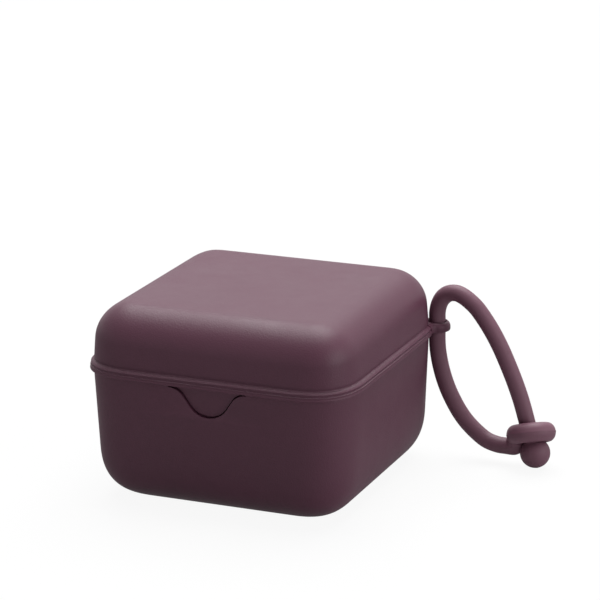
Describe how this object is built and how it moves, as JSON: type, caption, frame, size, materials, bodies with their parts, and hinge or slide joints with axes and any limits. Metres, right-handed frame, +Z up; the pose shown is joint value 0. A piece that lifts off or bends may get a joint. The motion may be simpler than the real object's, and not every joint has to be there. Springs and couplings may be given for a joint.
{
  "type": "pacifier box",
  "caption": "Rounded square pacifier box with a hinged domed lid, a front press tongue and a carrying strap through a corner eyelet.",
  "frame": {"origin": "centre of the tub's flat underside, on the surface that the box stands on", "axes": "+Z up, +X to the right across the front, the press tongue faces -Y and the hinge is at +Y"},
  "size_m": [0.1325, 0.096, 0.0648],
  "materials": {
    "shell_plastic": "satin plum polypropylene with a very fine moulded grain",
    "strap_silicone": "matte plum silicone"
  },
  "bodies": {
    "tub": {"base_tub": "shell_plastic", "hinge_pin": "shell_plastic"},
    "lid": {"lid_shell": "shell_plastic"},
    "tongue": {"latch_tongue": "shell_plastic"},
    "strap": {"strap_cord": "strap_silicone", "strap_ring": "strap_silicone", "strap_ball": "strap_silicone"}
  },
  "joints": [
    {"name": "lid_hinge", "type": "hinge", "parent": "tub", "child": "lid", "pos_m": [0, 0.0475, 0.0383], "axis": [-1, 0, 0], "range_deg": [0, 110]},
    {"name": "latch_press", "type": "hinge", "parent": "lid", "child": "tongue", "pos_m": [0, -0.04345, 0.0422], "axis": [1, 0, 0], "range_deg": [0, 8], "stiffness_Nm_per_rad": 0.12},
    {"name": "strap_swivel", "type": "hinge", "parent": "lid", "child": "strap", "pos_m": [0.0453, 0.0392, 0.0425], "axis": [0, 0, -1], "range_deg": [-60, 70]}
  ]
}
